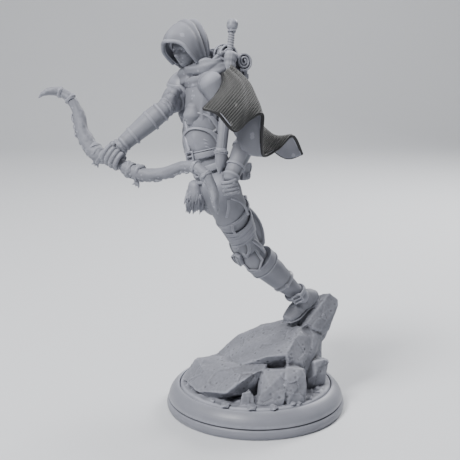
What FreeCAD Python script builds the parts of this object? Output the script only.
import FreeCAD, Part
import math
import os

import Sketcher
from FreeCAD import Placement, Rotation, Vector

# Display miniature of a hooded archer leaping off a rock, cast in grey resin and stood on a turned plinth.
# Millimetres, +Z up, origin at the middle of the plinth's underside. The figure faces -X.
# Directions are a turn, from -X round towards -Y, and a rise above the horizontal, both in degrees.

SIZES = {
    # turned plinth and the ground insert that drops into its recess
    "plinth_radius": 22.0,
    "plinth_height": 6.1,
    "bead_height": 2.4,
    "bead_bulge": 1.9,
    "waist_groove_depth": 0.4,
    "waist_groove_height": 0.35,
    "cove_bulge": 4.4,
    "rim_width": 0.35,
    "recess_radius": 19.25,
    "recess_depth": 2.6,
    "insert_clearance": 0.25,
    "insert_proud": 0.3,
    "insert_bevel": 0.6,
    # rocks glued on the insert
    "rock_height": 17.8,
    "rock_length": 28.0,
    "rock_depth": 15.0,
    "rock_crown_length": 18.0,
    "rock_crown_depth": 9.0,
    "spike_length": 4.6,
    "spike_depth": 5.4,
    "spike_stand": 4.0,
    "spike_tip_length": 1.8,
    "spike_tip_depth": 2.4,
    "spike_lean": 2.8,
    "ledge_length": 17.0,
    "ledge_depth": 14.0,
    "ledge_height": 7.2,
    "front_boulder_length": 7.0,
    "front_boulder_depth": 6.0,
    "front_boulder_height": 8.6,
    "side_boulder_radius": 3.2,
    "side_boulder_height": 4.2,
    "stone_radius": 1.5,
    "stone_ring_radius": 16.4,
    # steel pin through the sole into the rock
    "pin_radius": 0.8,
    "pin_length": 11.0,
    "pin_in_rock": 6.5,
    # standing leg
    "foot_across": 12.0,
    "foot_deep": 1.3,
    "foot_turn": 40.8,
    "foot_slope": -19.1,
    "foot_length": 12.2,
    "foot_width": 4.6,
    "foot_height": 4.4,
    "ankle_height": 4.6,
    "ankle_setback": 0.2,
    "shin_length": 20.6,
    "shin_turn": 28.6,
    "shin_rise": 41.3,
    "ankle_radius": 2.15,
    "shin_top_radius": 2.7,
    "strap_along": 1.4,
    "strap_wire": 0.55,
    "buckle_side": 2.3,
    "buckle_window": 1.3,
    "buckle_thickness": 0.7,
    "greave_start": 6.6,
    "greave_length": 7.2,
    "greave_low_radius": 2.8,
    "greave_high_radius": 3.25,
    "calf_band_start": 13.8,
    "calf_band_width": 2.0,
    "calf_band_radius": 3.6,
    "knee_plate_radius": 4.4,
    "knee_plate_height": 5.2,
    "thigh_length": 18.4,
    "thigh_turn": 50.8,
    "thigh_rise": 60.4,
    "knee_radius": 2.9,
    "hip_radius": 4.3,
    "wrap_wire": 0.42,
    "wrap_pitch": 0.95,
    "wrap_start": 4.6,
    "garter_along": 11.2,
    "garter_wire": 0.4,
    # free leg, trailing behind
    "free_thigh_turn": 243.6,
    "free_thigh_rise": -44.6,
    "free_shin_length": 16.9,
    "free_shin_turn": 251.6,
    "free_shin_rise": -20.8,
    "free_foot_turn": 256.0,
    "free_foot_rise": -52.0,
    "free_foot_length": 10.6,
    # hips and trunk
    "facing_turn": 17.0,
    "hip_width": 8.5,
    "pelvis_rise": 0.8,
    "pelvis_half_width": 6.0,
    "pelvis_half_depth": 4.9,
    "pelvis_half_height": 6.2,
    "waist_seat": 3.2,
    "lumbar_length": 7.8,
    "lumbar_turn": 0.0,
    "lumbar_rise": 74.0,
    "chest_length": 16.85,
    "chest_turn": -61.6,
    "chest_rise": 80.3,
    "waist_half_width": 4.9,
    "waist_half_depth": 4.1,
    "bust_half_width": 6.2,
    "bust_half_depth": 4.7,
    "yoke_half_width": 5.6,
    "yoke_half_depth": 3.6,
    "cup_radius": 2.5,
    "shoulder_span": 16.0,
    "shoulder_turn": 19.5,
    "shoulder_tilt": 4.3,
    "shoulder_drop": 2.3,
    "belt_thickness": 0.6,
    "belt_width": 1.5,
    "belt_clearance": 0.65,
    "plate_half_height": 1.5,
    "plate_proud": 0.6,
    "tail_length": 15.0,
    "tail_half_width": 4.0,
    "tail_thickness": 1.0,
    "tail_bulge": 11.0,
    "fur_half_width": 3.2,
    "fur_half_height": 3.6,
    "fur_half_depth": 2.4,
    "pouch_length": 3.0,
    "pouch_width": 2.2,
    "pouch_height": 3.6,
    # head and neck cloth
    "neck_length": 7.7,
    "neck_turn": 18.4,
    "neck_rise": 57.0,
    "neck_radius": 2.3,
    "head_half_width": 3.9,
    "head_half_depth": 4.5,
    "head_half_height": 5.2,
    "hood_thickness": 1.3,
    "hood_opening_radius": 3.2,
    "scarf_half_width": 7.6,
    "scarf_half_depth": 6.4,
    "scarf_half_height": 3.0,
    # arms
    "upper_arm_length": 14.5,
    "upper_arm_radius": 2.4,
    "elbow_radius": 2.1,
    "bow_arm_turn": 65.2,
    "bow_arm_rise": -10.3,
    "forearm_length": 13.0,
    "bow_forearm_turn": 12.0,
    "bow_forearm_rise": -42.5,
    "bracer_radius": 2.5,
    "cuff_radius": 2.1,
    "palm_reach": 3.6,
    "bow_palm_turn": 37.6,
    "bow_palm_rise": -63.6,
    "palm_half_length": 3.3,
    "palm_half_width": 2.5,
    "palm_half_depth": 2.0,
    "drawn_arm_turn": 192.0,
    "drawn_arm_rise": -56.0,
    "drawn_forearm_length": 10.6,
    "drawn_forearm_turn": 54.0,
    "drawn_forearm_rise": -51.0,
    "drawn_palm_turn": 55.0,
    "drawn_palm_rise": -60.0,
    "drawn_palm_reach": 2.4,
    "shoulder_plate_half_width": 3.6,
    "shoulder_plate_half_height": 1.7,
    "roll_radius": 2.9,
    "roll_wire": 1.1,
    # bow
    "bow_grip_length": 8.0,
    "bow_grip_radius": 1.0,
    "upper_limb_length": 20.5,
    "lower_limb_length": 25.4,
    "limb_root_radius": 1.5,
    "limb_tip_radius": 0.45,
    "binding_wire": 0.4,
    # cape
    "cape_length": 22.0,
    "cape_thickness": 0.8,
    # sword
    "hilt_rise": 13.3,
    "hilt_behind": 6.8,
    "hilt_near": 1.6,
    "sword_turn": 75.7,
    "sword_rise": -69.6,
    "pommel_radius": 1.25,
    "grip_radius": 0.6,
    "grip_length": 5.0,
    "guard_length": 3.6,
    "guard_width": 1.2,
    "guard_thickness": 0.9,
    "scabbard_length": 27.0,
    "scabbard_half_width": 1.15,
    "scabbard_half_depth": 0.75,
    "chape_along": 22.0,
    "chape_wire": 0.45,
    # back load
    "bedroll_radius": 2.4,
    "bedroll_length": 11.0,
    "pack_depth": 4.2,
    "pack_width": 8.4,
    "pack_height": 6.4,
    "pack_strap_wire": 0.35,
}

DOCUMENT = FreeCAD.newDocument("archer_miniature")
SHEET = DOCUMENT.addObject("Spreadsheet::Sheet", "Sizes")
for row, (alias, number) in enumerate(SIZES.items(), start=1):
    SHEET.set(f"A{row}", alias)
    SHEET.set(f"B{row}", str(number))
    SHEET.setAlias(f"B{row}", alias)
DOCUMENT.recompute()

UP = Vector(0, 0, 1)
NODES = {}


class Size:
    """A driving dimension or a sum of them: its number now, and the expression that gives it."""

    def __init__(self, value, text):
        self.value = value
        self.text = text

    def __add__(self, other):
        return Size(self.value + other.value, f"({self.text} + {other.text})")

    def __sub__(self, other):
        return Size(self.value - other.value, f"({self.text} - {other.text})")

    def __mul__(self, factor):
        return Size(self.value * factor, f"({self.text} * {factor})")


def size(alias):
    return Size(float(SIZES[alias]), f"Sizes.{alias}")


def angle(alias):
    return float(SIZES[alias])


ZERO = Size(0.0, "0")


# ---------------------------------------------------------------- placing and joining

def toward(turn, rise):
    """The unit direction with this turn and rise."""
    level = math.cos(math.radians(rise))
    return Vector(
        -level * math.cos(math.radians(turn)),
        -level * math.sin(math.radians(turn)),
        math.sin(math.radians(rise)),
    )


def aim(origin, axis, side):
    """The placement at origin whose Z runs along axis and whose X leans towards side."""
    axis = Vector(axis).normalize()
    across = side - axis * side.dot(axis)
    across.normalize()
    return Placement(origin, Rotation(across, axis.cross(across), axis, "ZXY"))


def primitive(kind, name, place, **bound):
    """A Part primitive with its sizes bound to the sheet."""
    piece = DOCUMENT.addObject(kind, name)
    for attribute, length in bound.items():
        piece.setExpression(attribute, length.text)
    piece.Placement = place
    return piece


def tapered(name, start, axis, side, start_radius, end_radius, length):
    return primitive("Part::Cone", name, aim(start, axis, side),
                     Radius1=start_radius, Radius2=end_radius, Height=length)


def rod(name, start, axis, side, radius, length):
    return primitive("Part::Cylinder", name, aim(start, axis, side), Radius=radius, Height=length)


def sphere(name, centre, radius):
    return primitive("Part::Sphere", name, Placement(centre, Rotation()), Radius=radius)


def ball(name, centre, axis, side, along, across, through):
    """A rounded pod: a loft of ellipses whose half sizes run along its axis, along its side and through."""
    axis = Vector(axis).normalize()
    wide, narrow, major_side = across, through, side
    if across.value < through.value:
        wide, narrow, major_side = through, across, axis.cross(side)
    stations = []
    for index, share in enumerate((-0.94, -0.6, 0.0, 0.6, 0.94)):
        swell = math.sqrt(1 - share ** 2)
        place = aim(centre + axis * (share * along.value), axis, major_side)
        stations.append(section(f"{name}_{index}", place, wide * swell, narrow * swell))
    return loft(name, stations)


def ring(name, centre, axis, side, radius, wire):
    return primitive("Part::Torus", name, aim(centre, axis, side), Radius1=radius, Radius2=wire)


def block(name, centre, axis, side, length, width, height):
    """A box centred on a point: length along its side, height along its axis."""
    place = aim(centre, axis, side)
    corner = Vector(-length.value / 2, -width.value / 2, -height.value / 2)
    place.Base = centre + place.Rotation.multVec(corner)
    return primitive("Part::Box", name, place, Length=length, Width=width, Height=height)


def boulder(name, foot, side, length, depth, height, crown_length, crown_depth, shift):
    """A frustum of rock standing on a point, with its crown shifted along its side."""
    place = aim(foot, UP, side)
    lay_up = Placement(Vector(0, 0, 0), Rotation(Vector(1, 0, 0), 90))
    half = 0.5
    return primitive(
        "Part::Wedge", name, place.multiply(lay_up),
        Xmin=length * -half, Xmax=length * half, Ymin=ZERO, Ymax=height,
        Zmin=depth * -half, Zmax=depth * half,
        X2min=shift - crown_length * half, X2max=shift + crown_length * half,
        Z2min=crown_depth * -half, Z2max=crown_depth * half,
    )


def carve(name, base, tools):
    """The base with each tool's shape taken out of it."""
    result = base
    for index, tool in enumerate(tools):
        step = DOCUMENT.addObject("Part::Cut", f"{name}_cut{index}")
        step.Base = result
        step.Tool = tool
        result = step
    return result


def join(name, pieces):
    fused = DOCUMENT.addObject("Part::MultiFuse", name)
    fused.Shapes = pieces
    return fused


def hoop(name, centre, axis, side, inner_width, inner_depth, neighbours=()):
    """A belt: an elliptical band of the belt's width and thickness round a centre."""
    wall = size("belt_thickness")
    top = centre + axis * size("belt_width").value
    solids = []
    for part, grow in (("Outer", wall), ("Inner", ZERO)):
        solids.append(loft(f"{name}{part}", [
            section(f"{name}{part}Low", aim(centre, axis, side), inner_width + grow, inner_depth + grow),
            section(f"{name}{part}High", aim(top, axis, side), inner_width + grow, inner_depth + grow),
        ]))
    return carve(name, solids[0], [solids[1]] + list(neighbours))


def gather(name, pieces):
    """Like pieces kept as separate solids of one sub-part."""
    group = DOCUMENT.addObject("Part::Compound", name)
    group.Links = pieces
    return group


def section(name, place, major, minor):
    return primitive("Part::Ellipse", name, place, MajorRadius=major, MinorRadius=minor)


def loft(name, sections):
    body = DOCUMENT.addObject("Part::Loft", name)
    body.Sections = sections
    body.Solid = True
    return body


def publish(label, piece):
    """Gives a finished sub-part its name."""
    piece.Label = label
    NODES[label] = piece
    return piece


# ---------------------------------------------------------------- sketched bodies

def new_sketch(body, name, role):
    """A sketch on one of the body's own origin planes."""
    plane = next(part for part in body.Origin.OriginFeatures if part.Role == role)
    sketch = body.newObject("Sketcher::SketchObject", name)
    sketch.AttachmentSupport = (plane, [""])
    sketch.MapMode = "FlatFace"
    return sketch


def arc_middle(start, end, radius):
    """The middle of the arc from start to end that bows out to the right of its chord."""
    chord = end - start
    sagitta = radius - math.sqrt(radius ** 2 - (chord.Length / 2) ** 2)
    outward = Vector(chord.y, -chord.x, 0).normalize()
    return (start + end) * 0.5 + outward * sagitta


def outline(sketch, corners):
    """A closed outline through (across, up, bulge) corners. A bulge is the radius of the arc that
    arrives at its corner, and None is a straight side. Every corner is fixed to the sheet."""
    points = [Vector(across.value, up.value, 0) for across, up, bulge in corners]
    for index, (across, up, bulge) in enumerate(corners):
        start = points[index - 1]
        end = points[index]
        if bulge is None:
            sketch.addGeometry(Part.LineSegment(start, end))
        else:
            sketch.addGeometry(Part.Arc(start, arc_middle(start, end, bulge.value), end))
    ends = [end_of(sketch, index, points[index]) for index in range(len(corners))]
    for index, (across, up, bulge) in enumerate(corners):
        following = (index + 1) % len(corners)
        start = 3 - ends[following]
        sketch.addConstraint(Sketcher.Constraint("Coincident", index, ends[index], following, start))
        fix(sketch, "DistanceX", index, ends[index], across)
        fix(sketch, "DistanceY", index, ends[index], up)
        if bulge is not None:
            number = sketch.addConstraint(Sketcher.Constraint("Radius", index, bulge.value))
            sketch.setExpression(f"Constraints[{number}]", bulge.text)


def end_of(sketch, index, point):
    """Which end of a piece of the outline, 1 or 2, lies at this point."""
    return 2 if (sketch.getPoint(index, 2) - point).Length < 1e-6 else 1


def fix(sketch, kind, index, end, length):
    number = sketch.addConstraint(Sketcher.Constraint(kind, -1, 1, index, end, length.value))
    sketch.setExpression(f"Constraints[{number}]", length.text)


def turned(name, corners):
    """A body turned about Z from an outline in its XZ plane."""
    body = DOCUMENT.addObject("PartDesign::Body", name)
    sketch = new_sketch(body, f"{name}_outline", "XZ_Plane")
    outline(sketch, corners)
    turning = body.newObject("PartDesign::Revolution", f"{name}_turning")
    turning.Profile = sketch
    turning.ReferenceAxis = (sketch, ["V_Axis"])
    turning.Angle = 360
    return body


def rectangle(sketch, length, width):
    outline(sketch, [
        (length * -0.5, width * -0.5, None),
        (length * 0.5, width * -0.5, None),
        (length * 0.5, width * 0.5, None),
        (length * -0.5, width * 0.5, None),
    ])


def bar(name, place, length, width, thickness):
    """A flat bar padded from a rectangle, rising from its placement."""
    body = DOCUMENT.addObject("PartDesign::Body", name)
    sketch = new_sketch(body, f"{name}_outline", "XY_Plane")
    rectangle(sketch, length, width)
    pad = body.newObject("PartDesign::Pad", f"{name}_pad")
    pad.Profile = sketch
    pad.setExpression("Length", thickness.text)
    body.Placement = place
    return body


def leaf(name, place, half_width, length, thickness):
    """A flat leaf hanging down from its placement: a blunt top, two bowed sides and a point below."""
    body = DOCUMENT.addObject("PartDesign::Body", name)
    sketch = new_sketch(body, f"{name}_outline", "XY_Plane")
    bulge = size("tail_bulge")
    outline(sketch, [
        (half_width * -0.5, ZERO, bulge),
        (ZERO, length * -1, bulge),
        (half_width * 0.5, ZERO, bulge),
    ])
    pad = body.newObject("PartDesign::Pad", f"{name}_pad")
    pad.Profile = sketch
    pad.setExpression("Length", thickness.text)
    body.Placement = place
    return body


# ---------------------------------------------------------------- skeleton

class Skeleton:
    """The joints of the figure, carried up from the foot on the rock, so a longer shin lifts all above."""

    def __init__(self):
        self.ground = size("plinth_height").value + size("insert_proud").value
        self.foot = toward(angle("foot_turn"), angle("foot_slope"))
        self.foot_side = self.foot.cross(UP).normalize()
        self.sole_up = self.foot_side.cross(self.foot)
        self.sole = Vector(
            size("foot_across").value,
            size("foot_deep").value,
            self.ground + size("rock_height").value,
        )
        above = self.sole_up * size("ankle_height").value
        self.ankle = self.sole + above - self.foot * size("ankle_setback").value
        self.shin = toward(angle("shin_turn"), angle("shin_rise"))
        self.knee = self.ankle + self.shin * size("shin_length").value
        self.thigh = toward(angle("thigh_turn"), angle("thigh_rise"))
        self.hip = self.knee + self.thigh * size("thigh_length").value
        self.forward = toward(angle("facing_turn"), 0)
        self.left = UP.cross(self.forward)
        self.free_hip = self.hip - self.left * size("hip_width").value
        self.pelvis = (self.hip + self.free_hip) * 0.5 + UP * size("pelvis_rise").value
        self.lumbar = toward(angle("lumbar_turn"), angle("lumbar_rise"))
        self.waist = self.pelvis + self.lumbar * size("lumbar_length").value
        self.spine = toward(angle("chest_turn"), angle("chest_rise"))
        self.nape = self.waist + self.spine * size("chest_length").value
        self.free_thigh = toward(angle("free_thigh_turn"), angle("free_thigh_rise"))
        self.free_knee = self.free_hip + self.free_thigh * size("thigh_length").value
        self.free_shin = toward(angle("free_shin_turn"), angle("free_shin_rise"))
        self.free_ankle = self.free_knee + self.free_shin * size("free_shin_length").value
        self.free_foot = toward(angle("free_foot_turn"), angle("free_foot_rise"))
        half_span = toward(angle("shoulder_turn") + 90, angle("shoulder_tilt"))
        half_span = half_span * (size("shoulder_span").value / 2)
        self.yoke = self.nape - self.spine * size("shoulder_drop").value
        self.near_shoulder = self.yoke + half_span
        self.far_shoulder = self.yoke - half_span
        self.neck = toward(angle("neck_turn"), angle("neck_rise"))
        self.head = self.nape + self.neck * size("neck_length").value
        arm = size("upper_arm_length").value
        self.bow_arm = toward(angle("bow_arm_turn"), angle("bow_arm_rise"))
        self.bow_elbow = self.far_shoulder + self.bow_arm * arm
        self.bow_forearm = toward(angle("bow_forearm_turn"), angle("bow_forearm_rise"))
        self.bow_wrist = self.bow_elbow + self.bow_forearm * size("forearm_length").value
        self.bow_palm = toward(angle("bow_palm_turn"), angle("bow_palm_rise"))
        self.bow_fist = self.bow_wrist + self.bow_palm * size("palm_reach").value
        self.drawn_arm = toward(angle("drawn_arm_turn"), angle("drawn_arm_rise"))
        self.drawn_elbow = self.near_shoulder + self.drawn_arm * arm
        self.drawn_forearm = toward(angle("drawn_forearm_turn"), angle("drawn_forearm_rise"))
        self.drawn_wrist = self.drawn_elbow + self.drawn_forearm * size("drawn_forearm_length").value
        self.drawn_palm = toward(angle("drawn_palm_turn"), angle("drawn_palm_rise"))
        self.drawn_fist = self.drawn_wrist + self.drawn_palm * size("drawn_palm_reach").value
        self.bow_along = Vector(0.863, -0.28, -0.475).normalize()
        self.bow_rise = self.bow_along.cross(Vector(0, 1, 0)).normalize()
        self.sword = toward(angle("sword_turn"), angle("sword_rise"))
        self.pommel = self.yoke - self.forward * size("hilt_behind").value
        self.pommel = self.pommel + self.left * size("hilt_near").value + UP * size("hilt_rise").value


BONE = Skeleton()


# ---------------------------------------------------------------- plinth and ground

def make_plinth():
    """Turned plinth: a bead round the foot, a groove, a swelling cove and a recess for the insert."""
    radius = size("plinth_radius")
    bead = size("bead_height")
    groove_top = bead + size("waist_groove_height")
    groove_radius = radius - size("waist_groove_depth")
    rim_radius = size("recess_radius") + size("rim_width")
    height = size("plinth_height")
    floor = height - size("recess_depth")
    plinth = turned("Plinth", [
        (ZERO, ZERO, None),
        (radius, ZERO, None),
        (radius, bead, size("bead_bulge")),
        (groove_radius, bead, None),
        (groove_radius, groove_top, None),
        (radius, groove_top, None),
        (rim_radius, height, size("cove_bulge")),
        (size("recess_radius"), height, None),
        (size("recess_radius"), floor, None),
        (ZERO, floor, None),
    ])
    publish("plinth", plinth)


def make_ground():
    """Ground insert: a disc with a bevelled rim that drops into the recess with room to lift out."""
    radius = size("recess_radius") - size("insert_clearance")
    bevel = size("insert_bevel")
    top = size("recess_depth") + size("insert_proud")
    disc = turned("GroundInsert", [
        (ZERO, ZERO, None),
        (radius, ZERO, None),
        (radius, top - bevel, None),
        (radius - bevel, top, None),
        (ZERO, top, None),
    ])
    disc.Placement.Base = UP * (size("plinth_height") - size("recess_depth")).value
    return publish("ground_insert", disc)


def make_pin():
    """Steel pin from inside the boot down into the rock, square to the sole."""
    start = BONE.sole - BONE.sole_up * size("pin_in_rock").value
    pin = rod("FootPin", start, BONE.sole_up, BONE.foot, size("pin_radius"), size("pin_length"))
    return publish("foot_pin", pin)


def make_rocks(pin):
    """A big tilted slab with its crown cut to the sole, a spike behind it, and lower rocks round it."""
    sky = size("rock_length") + size("rock_height")
    over = block("SlabSky", BONE.sole + BONE.sole_up * (sky.value / 2), BONE.sole_up, BONE.foot,
                 sky * 2, sky * 2, sky)
    ground = BONE.ground
    slab_foot = Vector(BONE.sole.x - 9.4, BONE.sole.y - 2.3, ground)
    back = BONE.foot * -1
    slab_raw = boulder("SlabRaw", slab_foot, back, size("rock_length"), size("rock_depth"),
                       size("rock_height") + size("foot_length"), size("rock_crown_length"),
                       size("rock_crown_depth"), size("foot_height"))
    slab = publish("rock_slab", carve("Slab", slab_raw, [over, pin]))
    spike_foot = Vector(BONE.sole.x + 3.4, BONE.sole.y + 1.2, ground)
    spike_raw = boulder("SpikeRaw", spike_foot, Vector(0.77, 0.64, 0), size("spike_length"), size("spike_depth"),
                        size("rock_height") + size("spike_stand"), size("spike_tip_length"),
                        size("spike_tip_depth"), size("spike_lean"))
    spike = publish("rock_spike", carve("Spike", spike_raw, [slab]))
    ledge_raw = boulder("LedgeRaw", Vector(BONE.sole.x - 18.0, BONE.sole.y - 5.5, ground), back,
                        size("ledge_length"), size("ledge_depth"), size("ledge_height"),
                        size("ledge_length") * 0.55, size("ledge_depth") * 0.5, size("ledge_depth") * 0.2)
    ledge = publish("rock_ledge", carve("Ledge", ledge_raw, [slab]))
    front_raw = boulder("FrontRaw", Vector(BONE.sole.x - 4.0, BONE.sole.y - 14.2, ground), Vector(1, 0.1, 0),
                        size("front_boulder_length"), size("front_boulder_depth"),
                        size("front_boulder_height"), size("front_boulder_length") * 0.8,
                        size("front_boulder_depth") * 0.7, ZERO)
    publish("front_boulder", carve("Front", front_raw, [slab, ledge]))
    side_raw = tapered("SideRaw", Vector(BONE.sole.x + 3.0, BONE.sole.y - 5.5, ground), UP, BONE.foot,
                       size("side_boulder_radius"), size("side_boulder_radius") * 0.6,
                       size("side_boulder_height"))
    side = publish("side_boulder", carve("Side", side_raw, [slab, spike]))
    return [slab, spike, ledge, side, NODES["front_boulder"]]


def make_stones(insert, rocks):
    """Loose stones bedded round the edge of the ground."""
    stones = []
    turns = (12, 58, 84, 152, 196, 224, 300, 334)
    for index, turn in enumerate(turns):
        centre = toward(turn, 0) * size("stone_ring_radius").value + UP * BONE.ground
        radius = size("stone_radius") * (0.7 + 0.12 * (index % 4))
        raw = sphere(f"Stone{index}", centre, radius)
        stones.append(carve(f"Bedded{index}", raw, [insert] + rocks))
    publish("loose_stones", gather("LooseStones", stones))


# ---------------------------------------------------------------- standing leg

def make_standing_leg(pin, rocks):
    """Boot, straps, greave, knee plate and wrapped thigh of the leg that carries the figure."""
    forward = BONE.forward
    shin = BONE.shin
    thigh = BONE.thigh
    middle = BONE.sole + BONE.sole_up * (size("foot_height").value * 0.42)
    foot_raw = ball("FootRaw", middle, BONE.foot, BONE.foot_side, size("foot_length") * 0.5,
                    size("foot_width") * 0.5, size("foot_height") * 0.6)
    foot = publish("standing_boot", carve("Foot", foot_raw, rocks[:2] + [pin]))
    shaft_raw = tapered("ShaftRaw", BONE.ankle, shin, forward, size("ankle_radius"),
                        size("shin_top_radius"), size("shin_length"))
    shaft = publish("boot_shaft", carve("Shaft", shaft_raw, [foot, pin]))
    strap_at = BONE.ankle + shin * size("strap_along").value
    strap_raw = ring("StrapRaw", strap_at, shin, forward, size("ankle_radius") + size("strap_wire") * 0.5,
                     size("strap_wire"))
    strap = publish("ankle_strap", carve("Strap", strap_raw, [shaft, foot, pin]))
    outward = Vector(0, -1, 0)
    face = aim(strap_at + outward * (size("ankle_radius") + size("strap_wire")).value, outward, shin)
    buckle = bar("AnkleBuckle", face, size("buckle_side"), size("buckle_side"), size("buckle_thickness"))
    window_sketch = new_sketch(buckle, "BuckleWindow", "XY_Plane")
    rectangle(window_sketch, size("buckle_window"), size("buckle_window"))
    window = buckle.newObject("PartDesign::Pocket", "BucklePocket")
    window.Profile = window_sketch
    window.Type = 1
    window.Midplane = True
    publish("ankle_buckle", carve("Buckle", buckle, [strap, shaft]))
    greave_start = BONE.ankle + shin * size("greave_start").value
    greave_raw = tapered("GreaveRaw", greave_start, shin, forward, size("greave_low_radius"),
                         size("greave_high_radius"), size("greave_length"))
    publish("shin_greave", carve("Greave", greave_raw, [shaft]))
    band_start = BONE.ankle + shin * size("calf_band_start").value
    band_raw = rod("BandRaw", band_start, shin, forward, size("calf_band_radius"), size("calf_band_width"))
    band = publish("calf_band", carve("Band", band_raw, [shaft]))
    thigh_raw = tapered("ThighRaw", BONE.knee, thigh, forward, size("knee_radius"), size("hip_radius"),
                        size("thigh_length"))
    leg = publish("standing_thigh", carve("Thigh", thigh_raw, [shaft]))
    cap_face = (forward + Vector(0, -0.6, 0.1)).normalize()
    cap_at = BONE.knee + cap_face * 0.6
    cap_raw = ball("KneeRaw", cap_at, shin + thigh, cap_face, size("knee_plate_height"),
                   size("knee_plate_radius") * 0.9, size("knee_plate_radius"))
    behind = block("KneeBehind", cap_at - cap_face * 6.2, cap_face, shin, size("knee_plate_height") * 3,
                   size("knee_plate_height") * 3, size("knee_plate_height") * 2)
    knee = publish("knee_plate", carve("Knee", cap_raw, [behind, leg, shaft, band]))
    wraps = []
    for index in range(4):
        along = size("wrap_start").value + index * size("wrap_pitch").value
        grown = size("knee_radius") + (size("hip_radius") - size("knee_radius")) * (along / SIZES["thigh_length"])
        raw = ring(f"Wrap{index}", BONE.knee + thigh * along, thigh, forward, grown, size("wrap_wire"))
        wraps.append(carve(f"WrapClear{index}", raw, [leg, knee]))
    thigh_wraps = publish("thigh_wraps", gather("ThighWraps", wraps))
    along = size("garter_along").value
    grown = size("knee_radius") + (size("hip_radius") - size("knee_radius")) * (along / SIZES["thigh_length"])
    garter = ring("GarterRaw", BONE.knee + thigh * along, thigh, forward, grown, size("garter_wire"))
    return leg, garter, thigh_wraps


def make_free_leg(leg):
    """The trailing leg: bent thigh, booted shin and pointed boot."""
    forward = BONE.forward
    thigh_raw = tapered("FreeThighRaw", BONE.free_hip, BONE.free_thigh, forward, size("hip_radius") * 0.9,
                        size("knee_radius") * 0.95, size("thigh_length"))
    thigh = publish("free_thigh", carve("FreeThigh", thigh_raw, [leg]))
    shin_raw = tapered("FreeShinRaw", BONE.free_knee, BONE.free_shin, forward, size("shin_top_radius"),
                       size("ankle_radius"), size("free_shin_length"))
    shin = publish("free_shin", carve("FreeShin", shin_raw, [thigh]))
    reach = size("free_foot_length") * 0.5
    centre = BONE.free_ankle + BONE.free_foot * (reach.value * 0.7)
    boot_raw = ball("FreeBootRaw", centre, BONE.free_foot, BONE.forward, reach, size("foot_width") * 0.45,
                    size("foot_height") * 0.45)
    publish("free_boot", carve("FreeBoot", boot_raw, [shin]))
    return thigh


# ---------------------------------------------------------------- trunk

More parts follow.
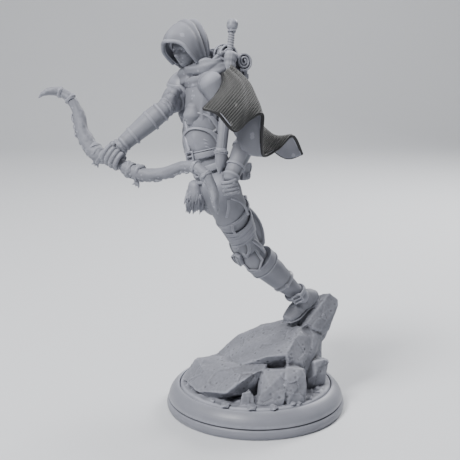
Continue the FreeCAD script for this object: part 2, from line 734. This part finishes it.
def make_trunk(leg, garter, thigh_wraps, free_thigh):
    """Hips, chest, belts, waist plates and what hangs from the belts."""
    left = BONE.left
    forward = BONE.forward
    seat = BONE.waist - BONE.lumbar * size("waist_seat").value
    room = size("chest_length") + size("lumbar_length")
    above = block("HipsTop", seat + BONE.lumbar * (room.value / 2), BONE.lumbar, left, room, room, room)
    hips_raw = ball("HipsRaw", BONE.pelvis, BONE.lumbar, left, size("pelvis_half_height"),
                    size("pelvis_half_width"), size("pelvis_half_depth"))
    hips = publish("hips", carve("Hips", hips_raw, [above, leg, free_thigh]))
    garter = publish("garter_strap", carve("Garter", garter, [leg, hips, free_thigh]))
    bust_at = BONE.waist + BONE.spine * (size("chest_length").value * 0.5)
    top_at = BONE.nape - BONE.spine * 0.6
    torso_raw = loft("TorsoRaw", [
        section("WaistLow", aim(seat, BONE.lumbar, left),
                size("waist_half_width"), size("waist_half_depth")),
        section("Waist", aim(BONE.waist, BONE.lumbar, left), size("waist_half_width"), size("waist_half_depth")),
        section("Bust", aim(bust_at, BONE.spine, left), size("bust_half_width"), size("bust_half_depth")),
        section("Yoke", aim(top_at, BONE.spine, left), size("yoke_half_width"), size("yoke_half_depth")),
    ])
    torso = publish("torso", torso_raw)
    cups = []
    for side in (-0.42, 0.42):
        centre = bust_at + forward * (size("bust_half_depth").value * 0.72)
        centre = centre + left * (side * size("bust_half_width").value) - UP * 1.0
        cups.append(sphere(f"Cup{len(cups)}", centre, size("cup_radius")))
    breastplate = publish("breastplate", carve("Breastplate", join("Cups", cups), [torso]))
    tilt = (UP + forward * 0.1 - left * 0.2).normalize()
    clear = size("belt_clearance")
    upper_belt = publish("upper_belt", hoop("UpperBelt", BONE.waist - UP * 2.2, tilt, left,
                                            size("waist_half_width") + clear, size("waist_half_depth") + clear))
    lower_belt = publish("lower_belt", hoop("LowerBelt", BONE.pelvis + UP * 1.9, tilt, left,
                                            size("pelvis_half_width"), size("pelvis_half_depth"),
                                            [leg, free_thigh, hips]))
    for name, rise, share in (("waist_plate_lower", 1.8, 1), ("waist_plate_upper", 5.0, 2)):
        swell = size("plate_proud") * share
        stations = []
        for index, part in enumerate((-1, 0, 1)):
            reach = size("plate_half_height").value * part
            rim = size("plate_proud") * (0.4 if part else 0.9)
            stations.append(section(f"{name}_{index}", aim(BONE.waist + BONE.spine * (rise + reach), BONE.spine, left),
                                    size("waist_half_width") + swell + rim, size("waist_half_depth") + swell + rim))
        publish(name, carve(name, loft(f"{name}_raw", stations), [torso, upper_belt, breastplate]))
    tail_axis = Vector(0.34, 0.94, 0.12).normalize()
    tail_at = BONE.pelvis - forward * 5.6 - left * 2.6 - UP * 3.4
    tail = leaf("CoatTail", aim(tail_at, tail_axis, Vector(-0.92, 0.3, 0.2)), size("tail_half_width"),
                size("tail_length"), size("tail_thickness"))
    publish("coat_tail", carve("Tail", tail, [hips, leg, lower_belt, free_thigh, NODES["knee_plate"]]))
    fur_at = BONE.pelvis + forward * 4.4 - UP * 3.2
    fur_raw = ball("FurRaw", fur_at, UP, left, size("fur_half_height"), size("fur_half_width"),
                   size("fur_half_depth"))
    publish("fur_pouch", carve("Fur", fur_raw, [hips, leg, lower_belt, free_thigh]))
    pouch_at = BONE.pelvis - forward * 6.0 + left * 2.0 + UP * 2.2
    pouch_raw = block("PouchRaw", pouch_at, UP + Vector(-0.2, 0, 0), left, size("pouch_length"),
                      size("pouch_width"), size("pouch_height"))
    publish("belt_pouch", carve("Pouch", pouch_raw, [hips, lower_belt, upper_belt, torso]))
    return torso, breastplate


# ---------------------------------------------------------------- head

def make_head(torso):
    """Head on its neck, the hood over it with its face opening, and the scarf round the neck."""
    left = BONE.left
    skull = ball("Skull", BONE.head, UP, left, size("head_half_height"), size("head_half_width"),
                 size("head_half_depth"))
    neck = rod("Neck", BONE.nape, BONE.neck, left, size("neck_radius"), size("neck_length"))
    head = publish("head", carve("Head", join("HeadRaw", [skull, neck]), [torso]))
    wall = size("hood_thickness")
    hood_raw = ball("HoodRaw", BONE.head, UP, left, size("head_half_height") + wall,
                    size("head_half_width") + wall, size("head_half_depth") + wall)
    face_axis = (BONE.forward - UP * 0.42).normalize()
    opening = rod("FaceOpening", BONE.head, face_axis, left, size("hood_opening_radius"),
                  size("head_half_depth") * 3)
    hood = publish("hood", carve("Hood", hood_raw, [opening, head, torso]))
    scarf_at = BONE.nape + UP * 0.4 - BONE.forward * 0.6
    scarf_raw = ball("ScarfRaw", scarf_at, UP + BONE.forward * 0.2, left, size("scarf_half_height"),
                     size("scarf_half_width"), size("scarf_half_depth"))
    return publish("scarf", carve("Scarf", scarf_raw, [torso, head, hood]))


# ---------------------------------------------------------------- arms

def make_arms(torso, breastplate, scarf):
    """The arm that holds the bow out, and the arm drawn back under the cape."""
    up = UP
    bow_raw = tapered("BowArmRaw", BONE.far_shoulder, BONE.bow_arm, up, size("upper_arm_radius"),
                      size("elbow_radius"), size("upper_arm_length"))
    bow_arm = publish("bow_upper_arm", carve("BowArm", bow_raw, [torso, scarf]))
    plate_at = BONE.far_shoulder + BONE.bow_arm * 4.6 + up * 1.6
    plate_raw = ball("ShoulderPlateRaw", plate_at, up, BONE.bow_arm, size("shoulder_plate_half_height"),
                     size("shoulder_plate_half_width"), size("upper_arm_radius") * 1.3)
    plate = publish("shoulder_plate", carve("ShoulderPlate", plate_raw, [bow_arm, torso, scarf]))
    roll_raw = ring("RollRaw", BONE.far_shoulder + BONE.bow_arm * 7.6, BONE.bow_arm, up,
                    size("roll_radius"), size("roll_wire"))
    roll = publish("shoulder_roll", carve("Roll", roll_raw, [bow_arm, plate, torso, scarf, breastplate]))
    wraps = []
    for index in range(3):
        centre = BONE.far_shoulder + BONE.bow_arm * (9.7 + 1.1 * index)
        raw = ring(f"Sleeve{index}", centre, BONE.bow_arm, up, size("elbow_radius"), size("wrap_wire"))
        wraps.append(carve(f"SleeveClear{index}", raw, [bow_arm, roll]))
    bracer_raw = tapered("BracerRaw", BONE.bow_elbow, BONE.bow_forearm, up, size("bracer_radius"),
                         size("cuff_radius"), size("forearm_length"))
    bracer = publish("bow_bracer", carve("Bracer", bracer_raw, [bow_arm]))
    cleared = [carve(f"SleeveEnd{index}", wrap, [bracer]) for index, wrap in enumerate(wraps)]
    publish("sleeve_wraps", gather("SleeveWraps", cleared))
    grip_start = BONE.bow_fist - BONE.bow_along * (size("bow_grip_length").value / 2)
    grip = publish("bow_grip", rod("BowGrip", grip_start, BONE.bow_along, up, size("bow_grip_radius"),
                                   size("bow_grip_length")))
    fist_raw = ball("BowFistRaw", BONE.bow_fist, BONE.bow_palm, BONE.bow_along, size("palm_half_length"),
                    size("palm_half_width"), size("palm_half_depth"))
    fist = publish("bow_hand", carve("BowFist", fist_raw, [bracer, grip]))
    drawn_raw = tapered("DrawnRaw", BONE.near_shoulder, BONE.drawn_arm, up, size("upper_arm_radius"),
                        size("elbow_radius"), size("upper_arm_length"))
    drawn = publish("drawn_upper_arm", carve("Drawn", drawn_raw, [torso, scarf]))
    forearm_raw = tapered("ForearmRaw", BONE.drawn_elbow, BONE.drawn_forearm, up, size("elbow_radius"),
                          size("cuff_radius") * 0.9, size("drawn_forearm_length"))
    forearm = publish("drawn_bracer", carve("Forearm", forearm_raw, [drawn, NODES["lower_belt"]]))
    hand_raw = ball("DrawnHandRaw", BONE.drawn_fist, BONE.drawn_palm, BONE.forward,
                    size("palm_half_length") * 0.85, size("palm_half_width") * 0.85, size("palm_half_depth"))
    hand = publish("drawn_hand", carve("DrawnHand", hand_raw, [forearm]))
    return [bow_arm, drawn, forearm, hand, plate], fist, grip


# ---------------------------------------------------------------- bow

BOW_CURVE = ((0.16, -0.02), (0.30, 0.00), (0.46, 0.10), (0.63, 0.27), (0.77, 0.335), (0.89, 0.29), (1.0, 0.16))


def limb_point(direction, length, share, lift):
    """A point of a recurved limb: a share of the way along it, and a lift off the line of the grip."""
    along = BONE.bow_along * (direction * share * length.value)
    return BONE.bow_fist + along + BONE.bow_rise * (lift * length.value)


def make_bow(fist, grip):
    """Two recurved limbs that grow out of the grip, each with rings bound round it near its tip."""
    bindings = []
    for name, direction, length in (("bow_upper_limb", -1, size("upper_limb_length")),
                                    ("bow_lower_limb", 1, size("lower_limb_length"))):
        points = [limb_point(direction, length, share, lift) for share, lift in BOW_CURVE]
        sections = []
        for index, point in enumerate(points):
            before = points[max(index - 1, 0)]
            after = points[min(index + 1, len(points) - 1)]
            share = index / (len(points) - 1)
            thick = size("limb_root_radius") + (size("limb_tip_radius") - size("limb_root_radius")) * share
            sections.append(section(f"{name}_{index}", aim(point, after - before, BONE.bow_rise), thick, thick))
        limb = publish(name, carve(name, loft(f"{name}_raw", sections), [grip, fist]))
        for index in (4, 5):
            along = points[index + 1] - points[index - 1]
            raw = ring(f"{name}_ring{index}", points[index], along, BONE.bow_rise,
                       size("limb_tip_radius") + size("binding_wire"), size("binding_wire"))
            bindings.append(carve(f"{name}_bound{index}", raw, [limb]))
    publish("limb_bindings", gather("LimbBindings", bindings))


# ---------------------------------------------------------------- sword and back load

def make_sword(arms, torso, scarf):
    """Sword in its scabbard, slung down the near side: pommel, grip, guard, scabbard and chape."""
    axis = BONE.sword
    side = BONE.forward
    pommel_radius = size("pommel_radius")
    pommel = publish("pommel", sphere("Pommel", BONE.pommel, pommel_radius))
    grip_raw = tapered("GripRaw", BONE.pommel, axis, side, size("grip_radius"), size("grip_radius") * 1.1,
                       pommel_radius + size("grip_length"))
    grip = publish("sword_grip", carve("Grip", grip_raw, [pommel]))
    guard_at = BONE.pommel + axis * (pommel_radius + size("grip_length")).value
    guard = publish("guard", bar("Guard", aim(guard_at, axis, side), size("guard_length"),
                                 size("guard_width"), size("guard_thickness")))
    mouth = guard_at + axis * size("guard_thickness").value
    tip = mouth + axis * size("scabbard_length").value
    scabbard_raw = loft("ScabbardRaw", [
        section("ScabbardMouth", aim(mouth, axis, side), size("scabbard_half_width"), size("scabbard_half_depth")),
        section("ScabbardTip", aim(tip, axis, side), size("scabbard_half_width") * 0.8,
                size("scabbard_half_depth") * 0.8),
    ])
    scabbard = publish("scabbard", carve("Scabbard", scabbard_raw, arms + [torso, scarf]))
    chape_raw = ring("ChapeRaw", mouth + axis * size("chape_along").value, axis, side,
                     size("scabbard_half_width"), size("chape_wire"))
    publish("chape", carve("Chape", chape_raw, [scabbard] + arms))
    return [pommel, grip, guard, scabbard]


def make_back_load(torso, scarf, hood, arms, sword):
    """Bedroll strapped over a small pack between the shoulders."""
    left = BONE.left
    back = BONE.forward * -1
    roll_at = BONE.nape + back * 5.0 + UP * 4.6 - left * 2.0
    start = roll_at - left * (size("bedroll_length").value / 2)
    roll_raw = rod("BedrollRaw", start, left, UP, size("bedroll_radius"), size("bedroll_length"))
    bedroll = publish("bedroll", carve("Bedroll", roll_raw, [hood, scarf, torso] + sword))
    pack_at = BONE.nape + back * 8.2 + UP * 1.2 - left * 2.4
    pack_raw = block("PackRaw", pack_at, UP, back, size("pack_depth"), size("pack_width"), size("pack_height"))
    pack = publish("backpack", carve("Pack", pack_raw, [bedroll, scarf, torso, hood] + arms + sword))
    straps = []
    for index, offset in enumerate((-0.28, 0.28)):
        centre = roll_at + left * (offset * size("bedroll_length").value)
        raw = ring(f"RollStrap{index}", centre, left, UP, size("bedroll_radius"), size("pack_strap_wire"))
        straps.append(carve(f"RollStrapClear{index}", raw, [bedroll, pack, hood, scarf, torso]))
    publish("bedroll_straps", gather("BedrollStraps", straps))
    return [bedroll, pack]


# ---------------------------------------------------------------- cape

# The fold of the cape at its hem, then half way up and at the neck: how far each fold point stands
# from the yoke behind, to the near side and up, as shares of the cape's length.
CAPE_HEM = ((-0.02, 0.62, -0.18), (0.30, 0.66, -0.37), (0.58, 0.54, -0.28), (0.66, 0.38, -0.36),
            (0.60, 0.18, -0.46), (0.72, 0.02, -0.66), (0.90, -0.06, -0.55), (1.06, -0.22, -0.60))
CAPE_MIDDLE = ((0.04, 0.50, 0.08), (0.20, 0.54, 0.00), (0.38, 0.46, 0.00), (0.50, 0.34, -0.04),
               (0.52, 0.16, -0.10), (0.60, 0.00, -0.18), (0.66, -0.14, -0.18), (0.66, -0.30, -0.20))
CAPE_NECK = ((0.18, 0.30, 0.20), (0.24, 0.27, 0.21), (0.28, 0.22, 0.21), (0.30, 0.14, 0.21),
             (0.31, 0.06, 0.21), (0.31, -0.04, 0.21), (0.30, -0.14, 0.20), (0.26, -0.24, 0.18))


def cape_point(offset):
    behind, near, above = offset
    length = size("cape_length").value
    return BONE.yoke + Vector(1, 0, 0) * (behind * length) + Vector(0, -1, 0) * (near * length) + UP * (above * length)


def lattice_solid(outer, inner):
    """A closed skin of triangles between two grids of points of the same size."""
    faces = []

    def quad(first, second, third, fourth):
        for corners in ((first, second, third), (first, third, fourth)):
            faces.append(Part.Face(Part.makePolygon(list(corners) + [corners[0]])))

    rows = len(outer)
    columns = len(outer[0])
    for row in range(rows - 1):
        for column in range(columns - 1):
            for grid in (outer, inner):
                quad(grid[row][column], grid[row][column + 1], grid[row + 1][column + 1], grid[row + 1][column])
    for row in range(rows - 1):
        for column in (0, columns - 1):
            quad(outer[row][column], outer[row + 1][column], inner[row + 1][column], inner[row][column])
    for column in range(columns - 1):
        for row in (0, rows - 1):
            quad(outer[row][column], outer[row][column + 1], inner[row][column + 1], inner[row][column])
    solid = Part.makeSolid(Part.makeShell(faces))
    if solid.Volume < 0:
        solid.reverse()
    return solid


def make_cape(others):
    """The cape: one cast sheet that fans from the neck into deep folds at its hem."""
    outer = [[cape_point(offset) for offset in line] for line in (CAPE_NECK, CAPE_MIDDLE, CAPE_HEM)]
    hang = Vector(0.55, -0.55, 0.62).normalize() * size("cape_thickness").value
    inner = [[point - hang for point in line] for line in outer]
    raw = DOCUMENT.addObject("Part::Feature", "CapeRaw")
    raw.Shape = lattice_solid(outer, inner)
    publish("cape", carve("Cape", raw, others))


# ---------------------------------------------------------------- assembly and export

def assemble():
    make_plinth()
    insert = make_ground()
    pin = make_pin()
    rocks = make_rocks(pin)
    make_stones(insert, rocks)
    leg, garter, thigh_wraps = make_standing_leg(pin, rocks)
    free_thigh = make_free_leg(leg)
    torso, breastplate = make_trunk(leg, garter, thigh_wraps, free_thigh)
    scarf = make_head(torso)
    arms, fist, grip = make_arms(torso, breastplate, scarf)
    make_bow(fist, grip)
    sword = make_sword(arms, torso, scarf)
    load = make_back_load(torso, scarf, NODES["hood"], arms, sword)
    make_cape(arms + sword + load + [torso, scarf])


def check_and_export():
    DOCUMENT.recompute()
    for thing in DOCUMENT.Objects:
        if "Invalid" in thing.State or "Error" in thing.State:
            raise RuntimeError(f"{thing.Name} ({thing.Label}) did not compute: {thing.State}")
    os.makedirs("parts", exist_ok=True)
    for label, piece in NODES.items():
        shape = piece.Shape
        if shape.isNull() or not shape.isValid() or not shape.Solids:
            raise RuntimeError(f"{label} is not a valid solid")
    for label, piece in NODES.items():
        piece.Shape.exportStep(f"parts/{label}.step")


assemble()
check_and_export()
